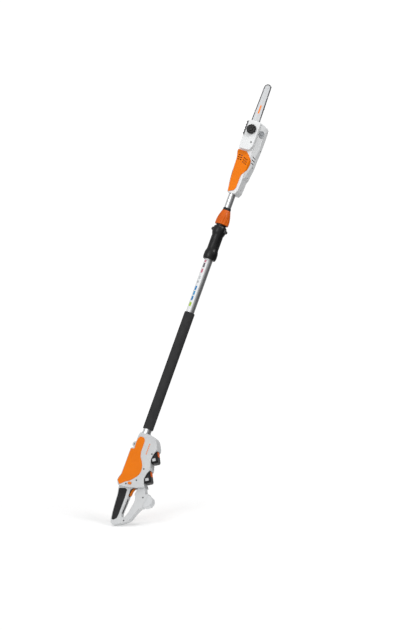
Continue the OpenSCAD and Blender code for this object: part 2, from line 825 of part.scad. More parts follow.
// Stands its children upright in the plane of the gear train, at height z
module in_train(z) {
    translate([0, gear_y, z]) rotate([90, 0, 0]) children();
}

module motor_stator() {
    color("dimgray") difference() {
        rod([0, motor_z], motor_r, motor_y, motor_y + motor_l);
        rod([0, motor_z], motor_r - 11, motor_y + 3, motor_y + motor_l - 2);
        rod([0, motor_z], 7, motor_y - 1, motor_y + 5);
    }
}

module motor_rotor() {
    color("slategray") {
        rod([0, motor_z], motor_r - 12, motor_y + 5, motor_y + motor_l - 4);
        rod([0, motor_z], motor_shaft_r, gear_y - 6, motor_y + 6);
        in_train(motor_z) rotate([0, 0, 90]) involute_gear(pinion_n, gear_m, gear_w, motor_shaft_r - 0.4);
    }
}

module idler_gear() {
    color("goldenrod") in_train(idler_z) rotate([0, 0, -90 + 180 / idler_n])
        involute_gear(idler_n, gear_m, gear_w - 1, idler_pin_r + run_gap);
}

module idler_pin() {
    color("silver") rod([0, idler_z], idler_pin_r, -head_near + wall, 0);
}

module drive_gear() {
    color("goldenrod") in_train(drive_z) rotate([0, 0, -90]) involute_gear(drive_n, gear_m, gear_w - 1, spindle_r);
}

module drive_sprocket() {
    reach = drive_r - 5.4 - 0.7;
    color("#707070") {
        rod([0, drive_z], spindle_r, bar_y - 4, 7);
        translate([0, bar_y, drive_z]) rotate([90, 0, 0]) difference() {
            cylinder(h = 5, r = reach, center = true);
            for (a = [0 : 360 / 7 : 359]) rotate([0, 0, a]) translate([reach, 0, 0]) cylinder(h = 6, r = 3.4, center = true);
        }
    }
}

module spindle_bearings() {
    color("silver") for (y = [-head_near + 2, 0.4]) difference() {
        rod([0, drive_z], spindle_r + 7, y, y + bearing_t);
        rod([0, drive_z], spindle_r + run_gap, y - 1, y + 8);
    }
}

module oil_tank() {
    color("lightyellow") difference() {
        slab(-6, head_far - wall - 1) eased(3) polygon([[14, 1790], [14, 1866], [34, 1864], [42, 1858], [43.5, 1790]]);
        slab(-4, head_far - wall - 3) polygon([[16.5, 1793], [16.5, 1863], [33, 1861], [40, 1856], [41, 1793]]);
        cap_frame() translate([0, 0, -60]) cylinder(h = 90, r = 8);
        translate([0, 0, 1500]) linear_extrude(500) difference() {
            square([400, 400], center = true);
            offset(delta = -wall - 14) head_plan();
        }
    }
}

module oil_cap() {
    color("darkgray") cap_frame() difference() {
        union() {
            translate([0, 0, -11.6]) cylinder(h = 13.4, r = oil_cap_r);
            translate([0, 0, 1.8 - eps]) cylinder(h = 1.2, r1 = oil_cap_r, r2 = oil_cap_r - 1.2);
        }
        translate([0, 0, 0.4]) for (s = [-1, 1]) translate([0, s * 8, 3]) cube([20, 9, 5.2], center = true);
    }
}

// ---------------------------------------------------------------- bar and chain

// Point and direction on the chain's rivet line, s measured up the +X run from the drive sprocket
function chain_at(s) = let (u = (s + loop_l) % loop_l)
    u < run_l ? [drive_r * cos(taper) - u * sin(taper), drive_z + drive_r * sin(taper) + u * cos(taper)]
    : u < run_l + nose_arc ? let (a = taper + (u - run_l) / nose_r * 180 / PI)
        [nose_r * cos(a), nose_z + nose_r * sin(a)]
    : u < 2 * run_l + nose_arc ? let (v = u - run_l - nose_arc)
        [-nose_r * cos(taper) - v * sin(taper), nose_z + nose_r * sin(taper) - v * cos(taper)]
    : let (a = 180 - taper + (u - 2 * run_l - nose_arc) / drive_r * 180 / PI)
        [drive_r * cos(a), drive_z + drive_r * sin(a)];

// Places its children on link i: +X along the chain, +Y away from the bar, centred on the bar plane
module on_link(i) {
    a = chain_at(i * pitch);
    b = chain_at((i + 1) * pitch);
    translate([a[0], bar_y, a[1]]) rotate([90, 0, 0]) rotate([0, 0, atan2(b[1] - a[1], b[0] - a[0])])
        mirror([0, 1, 0]) children();
}

module link_plate(profile, t) {
    difference() {
        linear_extrude(t, center = true) polygon(profile);
        for (x = [0, pitch]) translate([x, 0, 0]) cylinder(h = t + 1, r = rivet_r + rivet_gap, center = true, $fn = 16);
    }
}

strap_profile = [[-1.9, -1.9], [pitch + 1.9, -1.9], [pitch + 2.3, 0], [pitch + 1.4, 1.9], [pitch / 2, 1.5],
    [-1.4, 1.9], [-2.3, 0]];
drive_profile = [[-1.9, -1.6], [pitch / 2 - 2.2, -3], [pitch / 2 - 1, -5.2], [pitch / 2 + 1, -5.2],
    [pitch / 2 + 2.2, -3], [pitch + 1.9, -1.6], [pitch + 2.1, 0], [pitch + 1.2, 2], [-1.2, 2], [-2.1, 0]];
cutter_profile = [[-1.9, -1.9], [pitch + 1.9, -1.9], [pitch + 2.3, 0], [pitch + 1.4, 1.6], [pitch + 1, 2.9],
    [pitch - 0.8, 2.9], [pitch - 2, 1.4], [pitch / 2 - 0.4, 1.4], [pitch / 2 - 1, 3.5], [-2.4, 3.1], [-2.4, 0]];

// A cutter replaces one strap on every fourth strap link, on alternate sides
function cutter_side(i) = i % 8 != 1 ? 0 : i % 16 == 1 ? 1 : -1;

module drive_links() {
    color("#555555") for (i = [0 : 2 : link_count - 2]) on_link(i) link_plate(drive_profile, link_t);
}

module tie_straps() {
    color("#777777") for (i = [1 : 2 : link_count - 1], s = [-1, 1]) if (cutter_side(i) != s)
        on_link(i) translate([0, 0, s * (strap_y + strap_t / 2)]) link_plate(strap_profile, strap_t);
}

module cutters() {
    color("#999999") for (i = [1 : 2 : link_count - 1], s = [-1, 1]) if (cutter_side(i) == s)
        on_link(i) translate([0, 0, s * (strap_y + strap_t / 2)]) link_plate(cutter_profile, strap_t);
}

module chain_rivets() {
    color("#666666") for (i = [0 : link_count - 1]) let (p = chain_at(i * pitch))
        rod(p, rivet_r, bar_y - strap_y - strap_t - 0.3, bar_y + strap_y + strap_t + 0.3, $fn = 16);
}

module bar_outline(inset) {
    hull() {
        translate([0, nose_z]) circle(r = nose_r - rail - inset, $fn = 96);
        translate([0, drive_z + 34 + inset]) for (s = [-1, 1]) translate([s * (drive_r - 1 - rail - 5), 5])
            circle(r = max(5 - inset, 0.5), $fn = 32);
    }
}

module bar_stud() {
    color("silver") {
        rod([0, stud_z], stud_r, -cover_face - air - knob_t + 5.5, 24);
        rod([0, stud_z], 9, bar_y + bar_t / 2 + 0.2, -head_near);
    }
}

module guide_bar() {
    nose_hub = nose_r - 6;
    color("lightgray") difference() {
        slab(bar_y - bar_t / 2, bar_y + bar_t / 2) bar_outline(0);
        // Chain groove, nose pocket, stud slot, oil hole and tensioner hole
        slab(bar_y - link_t / 2 - 0.15, bar_y + link_t / 2 + 0.15) difference() {
            offset(delta = 1) bar_outline(0);
            bar_outline(3.6);
        }
        rod([0, nose_z], nose_r - rail - 0.6, bar_y - link_t / 2 - 0.2, bar_y + link_t / 2 + 0.2);
        hull() for (z = [stud_z - 8, stud_z + 8]) rod([0, z], stud_r + 0.3, bar_y - 5, bar_y + 5);
        rod([8.5, stud_z - 14], 1.6, bar_y - 5, bar_y + 5);
        rod([0, nose_z], 2 + run_gap, bar_y - link_t / 2 - 0.2, bar_y + link_t / 2 + 0.2);
    }
    color("gray") rod([0, nose_z], 2, bar_y - bar_t / 2 + 0.2, bar_y + bar_t / 2 - 0.2);
}

module nose_sprocket() {
    reach = nose_r - 5.4 - 0.4;
    color("#707070") translate([0, bar_y, nose_z]) rotate([90, 0, 0]) difference() {
        cylinder(h = link_t, r = reach, center = true);
        cylinder(h = 4, r = 2 + run_gap, center = true);
        for (a = [0 : 40 : 359]) rotate([0, 0, a]) translate([reach + 0.6, 0, 0]) cylinder(h = 4, r = 1.7, center = true);
    }
}

// ---------------------------------------------------------------- sprocket cover

module sprocket_cover_outline() {
    eased(5) polygon([[-30, 1741], [-31, 1752], [-31, 1846], [-29, 1862], [-25, 1874], [30, 1874],
        [30.5, 1800], [30, 1762], [22, 1742], [6, 1740.5]]);
}

module sprocket_cover() {
    color("whitesmoke") difference() {
        slab(-cover_face, -head_near) sprocket_cover_outline();
        slab(-cover_face + wall, -head_near + 1) offset(delta = -wall) sprocket_cover_outline();
        // Way out for the bar and chain
        translate([-26, bar_y - 7, 1850]) cube([52, 14, 40]);
        rod([0, stud_z], stud_r + 0.3, -cover_face - 1, -cover_face + 5);
        rod([17.4, 1777.6], screw_head_r, -cover_face - 1, -cover_face + 1.6);
        slab(-cover_face - 1, -cover_face + 3) translate([-32, 1800]) square([6, 70]);
    }
    // Boss round the stud, which clamps the bar
    color("whitesmoke") difference() {
        rod([0, stud_z], 9, -cover_face + wall - eps, bar_y - bar_t / 2 - 0.2);
        rod([0, stud_z], stud_r + 0.3, -cover_face, bar_y);
    }
}

module bumper_spikes() {
    color("#202020") slab(-cover_face + 0.2, -cover_face + 3) polygon(concat([[-26.4, 1802], [-26.4, 1869]],
        [for (i = [4 : -1 : 0]) each [[-31.4, 1804 + 13 * i + 11.6], [-34.6, 1804 + 13 * i + 6.4],
            [-31.4, 1804 + 13 * i + 1.2]]]));
}

module cover_knob() {
    y = -cover_face - air;
    color("#161616") difference() {
        union() {
            rod([0, stud_z], knob_r - 2, y - knob_t + 2, y);
            difference() {
                rod([0, stud_z], knob_r, y - knob_t + 3, y - 2);
                for (a = [0 : 30 : 330]) translate([0, 0, stud_z]) rotate([0, a, 0])
                    translate([knob_r + 1.4, 0, 0]) rotate([90, 0, 0]) cylinder(h = 80, r = 3.2, center = false);
            }
            translate([0, 0, stud_z]) rotate([0, 35, 0]) translate([-knob_r + 3, y - knob_t, -3.5])
                cube([2 * knob_r - 6, 4, 7]);
            rod([0, stud_z], 7, y - knob_t, y);
        }
        rod([0, stud_z], stud_r + run_gap, y - knob_t + 5, y + 1);
    }
}

handle_shell_right();
handle_shell_left();
side_cover_right();
side_cover_left();
grip_pad_right();
grip_pad_left();
grip_ribs();
foot_bumper();
case_screws();
bay_screws();
trigger();
trigger_spring();
lockout_lever();
lockout_button();
pivot_pins();
trigger_switch();
control_board();
bay_contacts();
board_lead();
battery_upper();
battery_upper_cells();
battery_upper_latch();
battery_lower();
battery_lower_cells();
battery_lower_latch();
outer_tube();
foam_grip();
end_collar();
clamp_housing();
clamp_bolt();
collet();
lock_nut();
wiper_ring();
coiled_lead();
inner_tube();
glide_bush();
head_lead();
head_shell_right();
head_shell_left();
motor_cover();
motor_stator();
motor_rotor();
idler_gear();
idler_pin();
drive_gear();
drive_sprocket();
spindle_bearings();
oil_tank();
oil_cap();
bar_stud();
guide_bar();
nose_sprocket();
drive_links();
tie_straps();
cutters();
chain_rivets();
sprocket_cover();
bumper_spikes();
cover_knob();
head_screws();
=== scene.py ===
# Looks of a telescoping pole saw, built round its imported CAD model. Metres, in the model's own frame:
# the shaft runs up +Z, the batteries are on +X, and the bar, its cover and its knob are on -Y.
import math

import bmesh
import bpy
from mathutils import Matrix, Vector


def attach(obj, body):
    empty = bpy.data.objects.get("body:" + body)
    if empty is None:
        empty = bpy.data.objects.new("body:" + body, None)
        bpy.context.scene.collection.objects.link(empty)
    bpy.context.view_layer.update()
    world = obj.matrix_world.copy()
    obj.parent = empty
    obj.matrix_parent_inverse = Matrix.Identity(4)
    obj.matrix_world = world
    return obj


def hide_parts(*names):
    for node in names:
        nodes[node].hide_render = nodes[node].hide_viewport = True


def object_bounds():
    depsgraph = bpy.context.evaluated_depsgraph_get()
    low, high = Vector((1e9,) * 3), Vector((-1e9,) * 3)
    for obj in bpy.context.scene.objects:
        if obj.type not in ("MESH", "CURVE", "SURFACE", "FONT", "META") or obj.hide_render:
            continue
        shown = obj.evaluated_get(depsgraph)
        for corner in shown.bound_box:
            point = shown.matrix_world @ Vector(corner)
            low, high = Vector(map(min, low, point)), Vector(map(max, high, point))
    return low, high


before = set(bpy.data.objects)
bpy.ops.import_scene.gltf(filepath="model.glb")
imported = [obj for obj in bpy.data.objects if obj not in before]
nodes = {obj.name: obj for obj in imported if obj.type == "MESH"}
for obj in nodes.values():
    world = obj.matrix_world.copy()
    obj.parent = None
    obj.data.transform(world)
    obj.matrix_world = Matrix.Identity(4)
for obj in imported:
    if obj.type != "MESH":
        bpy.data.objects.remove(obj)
cad_low, cad_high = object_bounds()
MM = 0.001

# ---------------------------------------------------------------- camera
# A long lens far off, a little to the right of the saw's right side and a little below its middle.
# The camera is rolled so that the saw leans to the right in the picture, resting on its handle loop.
camera_azimuth = math.radians(22)
camera_pitch = math.radians(-9)
saw_lean = math.radians(19.72)
picture_height = 2.738
lens_mm, sensor_mm = 200, 36
level = Vector((math.cos(camera_azimuth), math.sin(camera_azimuth), 0))
toward = Vector((
    math.sin(camera_azimuth) * math.cos(camera_pitch),
    -math.cos(camera_azimuth) * math.cos(camera_pitch),
    math.sin(camera_pitch),
))
upright = toward.cross(level)
right_hand = level * math.cos(saw_lean) + upright * math.sin(saw_lean)
overhead = upright * math.cos(saw_lean) - level * math.sin(saw_lean)
aim = level * 0.0856 + Vector((0, 0, 1.004))
camera_data = bpy.data.cameras.new("studio_camera")
camera_data.lens = lens_mm
camera_data.sensor_width = sensor_mm
camera_data.clip_end = 100
camera = bpy.data.objects.new("studio_camera", camera_data)
bpy.context.scene.collection.objects.link(camera)
camera.matrix_world = Matrix.Translation(aim + toward * picture_height * lens_mm / sensor_mm) @ Matrix(
    (right_hand, overhead, toward)).transposed().to_4x4()
bpy.context.scene.camera = camera

# ---------------------------------------------------------------- studio
# Pale floor square to the camera's own up direction, under the lowest point of the leaning saw.
# It fades out round the handle, and is clear from underneath, so that it never hides the saw.
floor_tip = math.radians(11)
floor_normal = overhead * math.cos(floor_tip) + toward * math.sin(floor_tip)
lowest = min(
    (v.co for n in ("handle_shell_right", "foot_bumper") for v in nodes[n].data.vertices),
    key=lambda p: p.dot(floor_normal),
)
floor_origin = Vector(lowest) - floor_normal * MM
sheet = bmesh.new()
bmesh.ops.create_grid(sheet, x_segments=24, y_segments=24, size=1.5)
floor_turn = floor_normal.to_track_quat("Z", "Y").to_matrix().to_4x4()
bmesh.ops.transform(sheet, matrix=Matrix.Translation(floor_origin) @ floor_turn, verts=sheet.verts)
floor_mesh = bpy.data.meshes.new("studio_floor")
sheet.to_mesh(floor_mesh)
sheet.free()
studio_floor = bpy.data.objects.new("studio_floor", floor_mesh)
bpy.context.scene.collection.objects.link(studio_floor)

paper = bpy.data.materials.new("pale_floor")
paper.use_nodes = True
tree = paper.node_tree
tree.nodes.clear()
place = tree.nodes.new("ShaderNodeTexCoord")
centred = tree.nodes.new("ShaderNodeVectorMath")
centred.operation = "DISTANCE"
centred.inputs[1].default_value = floor_origin
tree.links.new(place.outputs["Object"], centred.inputs[0])
fade = tree.nodes.new("ShaderNodeMapRange")
fade.interpolation_type = "SMOOTHSTEP"
for socket, value in zip(("From Min", "From Max", "To Min", "To Max"), (0.45, 1.25, 0.0, 1.0)):
    fade.inputs[socket].default_value = value
tree.links.new(centred.outputs["Value"], fade.inputs["Value"])
facing = tree.nodes.new("ShaderNodeNewGeometry")
clear = tree.nodes.new("ShaderNodeMath")
clear.operation = "MAXIMUM"
tree.links.new(fade.outputs["Result"], clear.inputs[0])
tree.links.new(facing.outputs["Backfacing"], clear.inputs[1])
matt = tree.nodes.new("ShaderNodeBsdfPrincipled")
matt.inputs["Base Color"].default_value = (0.64, 0.64, 0.64, 1)
matt.inputs["Roughness"].default_value = 1.0
matt.inputs["Specular IOR Level"].default_value = 0.0
matt.inputs["Emission Color"].default_value = (1, 1, 1, 1)
matt.inputs["Emission Strength"].default_value = 0.39
see_through = tree.nodes.new("ShaderNodeBsdfTransparent")
blended = tree.nodes.new("ShaderNodeMixShader")
tree.links.new(clear.outputs[0], blended.inputs[0])
tree.links.new(matt.outputs[0], blended.inputs[1])
tree.links.new(see_through.outputs[0], blended.inputs[2])
tree.links.new(blended.outputs[0], tree.nodes.new("ShaderNodeOutputMaterial").inputs["Surface"])
floor_mesh.materials.append(paper)

# White surroundings, weaker as light than as backdrop, with a dark flag behind the saw's right side
# that gives the tubes their darker edge
world = bpy.data.worlds.new("white_surroundings")
world.use_nodes = True
bpy.context.scene.world = world
tree = world.node_tree
tree.nodes.clear()
rays = tree.nodes.new("ShaderNodeLightPath")
flagged = tree.nodes.new("ShaderNodeVectorMath")
flagged.operation = "DOT_PRODUCT"
flagged.inputs[1].default_value = (right_hand * 0.97 + toward * 0.2).normalized()
tree.links.new(tree.nodes.new("ShaderNodeTexCoord").outputs["Generated"], flagged.inputs[0])
shade = tree.nodes.new("ShaderNodeMapRange")
for socket, value in zip(("From Min", "From Max", "To Min", "To Max"), (0.3, 0.8, 0.6, 0.1)):
    shade.inputs[socket].default_value = value
tree.links.new(flagged.outputs["Value"], shade.inputs["Value"])
strength = tree.nodes.new("ShaderNodeMapRange")
strength.inputs["To Max"].default_value = 1.05
tree.links.new(rays.outputs["Is Camera Ray"], strength.inputs["Value"])
tree.links.new(shade.outputs["Result"], strength.inputs["To Min"])
glow = tree.nodes.new("ShaderNodeBackground")
glow.inputs["Color"].default_value = (1, 1, 1, 1)
tree.links.new(strength.outputs["Result"], glow.inputs["Strength"])
tree.links.new(glow.outputs[0], tree.nodes.new("ShaderNodeOutputWorld").inputs["Surface"])
bpy.context.scene.view_settings.view_transform = "Standard"


def soft_lamp(name, rightward, upward, nearer, power, size, distance=5.0):
    direction = (right_hand * rightward + overhead * upward + toward * nearer).normalized()
    lamp = bpy.data.lights.new(name, "AREA")
    lamp.shape = "DISK"
    lamp.size = size
    lamp.energy = power
    holder = bpy.data.objects.new(name, lamp)
    bpy.context.scene.collection.objects.link(holder)
    holder.rotation_mode = "QUATERNION"
    holder.rotation_quaternion = direction.to_track_quat("Z", "Y")
    holder.location = aim + direction * distance


soft_lamp("key_softbox", -0.6, 0.5, 0.85, 66, 2.8)
soft_lamp("top_softbox", 0.1, 1.0, 0.3, 38, 2.2)
soft_lamp("fill_softbox", 0.95, 1.0, 0.55, 122, 2.4)


# ---------------------------------------------------------------- handle shells
# Two light grey glass-filled nylon halves, injection moulded and screwed together down the middle.
# They carry both battery bays and run on into the rear loop; every outer corner has a moulded radius.
def finish(name, light, dark, rough, metal=0.0, cloud=9.0, spread=(1, 1, 1), grain=(), scuffs=0.0, coat=0.0,
           shine=0.3):
    """A finish that drifts between two colours, with bump layers (pattern, scale, stretch, depth in mm)."""
    made = bpy.data.materials.new(name)
    made.use_nodes = True
    tree = made.node_tree
    tree.nodes.clear()
    shader = tree.nodes.new("ShaderNodeBsdfPrincipled")
    tree.links.new(shader.outputs[0], tree.nodes.new("ShaderNodeOutputMaterial").inputs["Surface"])
    shader.inputs["Metallic"].default_value = metal
    shader.inputs["Coat Weight"].default_value = coat
    shader.inputs["Specular IOR Level"].default_value = shine
    place = tree.nodes.new("ShaderNodeTexCoord")

    def pattern(kind, scale, stretch):
        mapped = tree.nodes.new("ShaderNodeMapping")
        mapped.inputs["Scale"].default_value = stretch
        tree.links.new(place.outputs["Object"], mapped.inputs["Vector"])
        made_of = tree.nodes.new("ShaderNodeTexVoronoi" if kind == "cells" else "ShaderNodeTexNoise")
        made_of.inputs["Scale"].default_value = scale
        if kind != "cells":
            made_of.inputs["Detail"].default_value = 4
        tree.links.new(mapped.outputs["Vector"], made_of.inputs["Vector"])
        result = "Factor" if "Factor" in made_of.outputs else "Fac"
        return made_of.outputs["Distance" if kind == "cells" else result]

    def ranged(source, low, high, to_low, to_high):
        span = tree.nodes.new("ShaderNodeMapRange")
        for socket, value in zip(("From Min", "From Max", "To Min", "To Max"), (low, high, to_low, to_high)):
            span.inputs[socket].default_value = value
        tree.links.new(source, span.inputs["Value"])
        return span.outputs["Result"]

    drift = pattern("noise", cloud, spread)
    tone = tree.nodes.new("ShaderNodeMix")
    tone.data_type = "RGBA"
    tree.links.new(ranged(drift, 0.3, 0.7, 0.0, 1.0), tone.inputs["Factor"])
    tone.inputs["A"].default_value = (*light, 1)
    tone.inputs["B"].default_value = (*dark, 1)
    colour = tone.outputs["Result"]
    if scuffs:
        rubbed = tree.nodes.new("ShaderNodeMix")
        rubbed.data_type = "RGBA"
        marks = pattern("noise", 55, (1, 1, 0.25))
        tree.links.new(ranged(marks, 0.6, 0.72, 0.0, scuffs), rubbed.inputs["Factor"])
        tree.links.new(colour, rubbed.inputs["A"])
        rubbed.inputs["B"].default_value = (*[min(1.0, c * 1.5 + 0.05) for c in light], 1)
        colour = rubbed.outputs["Result"]
    tree.links.new(colour, shader.inputs["Base Color"])
    tree.links.new(ranged(pattern("noise", cloud * 6, spread), 0.3, 0.7, *rough), shader.inputs["Roughness"])
    relief = None
    for kind, scale, stretch, depth in grain:
        bump = tree.nodes.new("ShaderNodeBump")
        bump.inputs["Distance"].default_value = depth * MM
        tree.links.new(pattern(kind, scale, stretch), bump.inputs["Height"])
        if relief:
            tree.links.new(relief, bump.inputs["Normal"])
        relief = bump.outputs["Normal"]
    if relief:
        tree.links.new(relief, shader.inputs["Normal"])
    return made


def merged_copy(node):
    """A copy of a CAD node's mesh with its loose triangles joined into whole faces."""
    bm = bmesh.new()
    bm.from_mesh(nodes[node].data)
    bmesh.ops.remove_doubles(bm, verts=bm.verts[:], dist=0.002 * MM)
    bmesh.ops.dissolve_limit(bm, angle_limit=math.radians(0.4), verts=bm.verts[:], edges=bm.edges[:])
    return bm


def split_big(bm):
    """Cuts the many-sided faces into triangles and takes out the slivers, so that rims round off cleanly."""
    many_sided = 24
    bmesh.ops.triangulate(bm, faces=[f for f in bm.faces if len(f.verts) > many_sided])
    bmesh.ops.dissolve_degenerate(bm, dist=0.01 * MM, edges=bm.edges[:])


def reach_from(edge, face):
    start, end = (v.co for v in edge.verts)
    along = (end - start).normalized()
    return max(((v.co - start) - along * (v.co - start).dot(along)).length for v in face.verts)


def corners(bm, reach, where, steep=40):
    """Outward edges between two faces that both reach some millimetres back from it."""
    found = []
    for e in bm.edges:
        if len(e.link_faces) != 2 or not e.is_convex or e.calc_length() < 1e-6:
            continue
        if e.calc_face_angle(0) < math.radians(steep) or not where((e.verts[0].co + e.verts[1].co) / 2 / MM):
            continue
        if min(reach_from(e, f) for f in e.link_faces) > reach * MM:
            found.append(e)
    return found


def soften(bm, edges, width, segments=3):
    bmesh.ops.bevel(bm, geom=edges, offset=width * MM, offset_type="OFFSET", segments=segments, profile=0.5,
                    affect="EDGES", clamp_overlap=False, material=-1)


def mounted(bm, name, body, look, slot, *replaced, sharp=38):
    """Turns a finished mesh into a piece that rides on a body and stands for CAD nodes."""
    mesh = bpy.data.meshes.new(name)
    bm.to_mesh(mesh)
    bm.free()
    mesh.polygons.foreach_set("use_smooth", [True] * len(mesh.polygons))
    mesh.set_sharp_from_angle(angle=math.radians(sharp))
    mesh.materials.append(look)
    piece = bpy.data.objects.new(name, mesh)
    bpy.context.scene.collection.objects.link(piece)
    even = piece.modifiers.new("even_shading", "WEIGHTED_NORMAL")
    even.keep_sharp = True
    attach(piece, body)
    if replaced:
        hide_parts(*replaced)
    return piece


def sum_of(tree, operation, *values):
    node = tree.nodes.new("ShaderNodeMath")
    node.operation = operation
    for socket, value in zip(node.inputs, values):
        if isinstance(value, (int, float)):
            socket.default_value = value
        else:
            tree.links.new(value, socket)
    return node.outputs[0]


def within(tree, value, middle, half):
    """1 where value lies within half of middle, with a narrow soft edge."""
    gap = sum_of(tree, "SUBTRACT", half, sum_of(tree, "ABSOLUTE", sum_of(tree, "SUBTRACT", value, middle)))
    edge = tree.nodes.new("ShaderNodeMapRange")
    edge.inputs["From Min"].default_value = -0.0002
    edge.inputs["From Max"].default_value = 0.0002
    tree.links.new(gap, edge.inputs["Value"])
    return edge.outputs["Result"]


def printed(look, name, ink, patches):
    """A copy of a finish with rectangles of ink: (middle X, half width, middle Z, half height) in mm."""
    made = look.copy()
    made.name = name
    tree = made.node_tree
    shader = next(n for n in tree.nodes if n.type == "BSDF_PRINCIPLED")
    axes = tree.nodes.new("ShaderNodeSeparateXYZ")
    tree.links.new(tree.nodes.new("ShaderNodeTexCoord").outputs["Object"], axes.inputs[0])
    for x, half_x, z, half_z in patches:
        inked = tree.nodes.new("ShaderNodeMix")
        inked.data_type = "RGBA"
        tree.links.new(sum_of(tree, "MULTIPLY", within(tree, axes.outputs["X"], x * MM, half_x * MM),
                              within(tree, axes.outputs["Z"], z * MM, half_z * MM)), inked.inputs["Factor"])
        tree.links.new(shader.inputs["Base Color"].links[0].from_socket, inked.inputs["A"])
        inked.inputs["B"].default_value = (*ink, 1)
        tree.links.new(inked.outputs["Result"], shader.inputs["Base Color"])
    return made


shell_grey = finish("shell_grey_nylon", (0.63, 0.64, 0.645), (0.59, 0.60, 0.61), (0.36, 0.5), cloud=14,
                    grain=(("noise", 1400, (1, 1, 1), 0.015), ("noise", 160, (1, 1, 1), 0.02)), scuffs=0.08)
housing_half, loop_half = 29, 18
marked_grey = printed(shell_grey, "printed_shell_grey", (0.86, 0.2, 0.01),
                      [(43, 2.2, z, 3.2) for z in (334, 342.5, 351, 359.5, 368, 376.5)])
for side in ("right", "left"):
    shell = merged_copy("handle_shell_" + side)
    split_big(shell)
    soften(shell, corners(shell, 4, lambda p: abs(p.y) > housing_half - 0.1), 1.0)
    bow_front = corners(shell, 4, lambda p: abs(abs(p.y) - loop_half) < 0.1 and p.x > 16)
    soften(shell, bow_front, 1.2, 4)
    mounted(shell, "moulded_handle_" + side, "control_unit", marked_grey, "shell_plastic",
            "handle_shell_" + side)

# The foot under the front bow is a softer grey block, pushed on and held by the shells. Its grey is lighter
# than the shells', painted light standing in for the light on its outward-facing face.
foot = merged_copy("foot_bumper")
soften(foot, corners(foot, 3, lambda p: abs(p.y) > 20), 2.4, 4)
# Base grey lifted above the shells' grey: painted light for the foot's lit outward face
foot_painted_lit_grey = finish("foot_painted_lit_grey", (0.68, 0.69, 0.70), (0.63, 0.645, 0.655), (0.45, 0.6), cloud=20,
                   grain=(("noise", 900, (1, 1, 1), 0.08),), scuffs=0.25)
mounted(foot, "heel_foot", "control_unit", foot_painted_lit_grey, "shell_plastic", "foot_bumper")


# ---------------------------------------------------------------- side covers
# Orange nylon panels, one let into each side of the housing, with a soft edge.
orange = finish("orange_nylon", (0.88, 0.205, 0.001), (0.82, 0.185, 0.0005), (0.42, 0.55), cloud=11,
                grain=(("noise", 1500, (1, 1, 1), 0.035), ("noise", 140, (1, 1, 1), 0.04)), scuffs=0.03,
                shine=0.12)
for side in ("right", "left"):
    cover = merged_copy("side_cover_" + side)
    soften(cover, corners(cover, 2, lambda p: abs(p.y) > 30.1), 1.3, 4)
    mounted(cover, "side_panel_" + side, "control_unit", orange, "orange_plastic", "side_cover_" + side)


# ---------------------------------------------------------------- grip
# Black thermoplastic rubber moulded over each side of the rear handle, with a fine pebbled skin, and a
# ribbed strip of the same rubber down the front where the fingers close.
grip_rubber = finish("pebbled_rubber", (0.022, 0.022, 0.023), (0.013, 0.013, 0.014), (0.55, 0.7), cloud=24,
                     grain=(("cells", 900, (1, 1, 1), 0.12), ("noise", 130, (1, 1, 1), 0.08)), scuffs=0.03,
                     shine=0.2)
for side in ("right", "left"):
    pad = merged_copy("grip_pad_" + side)
    soften(pad, corners(pad, 2, lambda p: abs(p.y) > 18.7), 1.2, 4)
    mounted(pad, "grip_pad_skin_" + side, "control_unit", grip_rubber, "grip_rubber", "grip_pad_" + side)
ribs = merged_copy("grip_ribs")
soften(ribs, corners(ribs, 0.8, lambda p: p.x > 21.5, 50), 0.25, 2)
mounted(ribs, "finger_ribs", "control_unit", grip_rubber, "grip_rubber", "grip_ribs")

# ---------------------------------------------------------------- trigger and lockout
# Orange nylon trigger and lockout button, and the black lever that has to be squeezed with them.
trigger = merged_copy("trigger")
soften(trigger, corners(trigger, 1.5, lambda p: abs(p.y) > 6.9), 1.4, 4)
mounted(trigger, "trigger_blade", "trigger", orange, "orange_plastic", "trigger")
button = merged_copy("lockout_button")
soften(button, corners(button, 1.5, lambda p: abs(p.y) > 31), 1.2, 4)
mounted(button, "lockout_push_button", "lockout_button", orange, "orange_plastic", "lockout_button")
satin_black = finish("satin_black_nylon", (0.009, 0.009, 0.0095), (0.005, 0.005, 0.0055), (0.3, 0.42),
                     cloud=18,
                     grain=(("noise", 1300, (1, 1, 1), 0.05), ("noise", 180, (1, 1, 1), 0.05)), scuffs=0.02,
                     shine=0.35)
lever = merged_copy("lockout_lever")
soften(lever, corners(lever, 1.2, lambda p: abs(p.y) > 7.9, 50), 0.5, 2)
mounted(lever, "lockout_lever_blade", "lockout_lever", satin_black, "black_plastic", "lockout_lever")

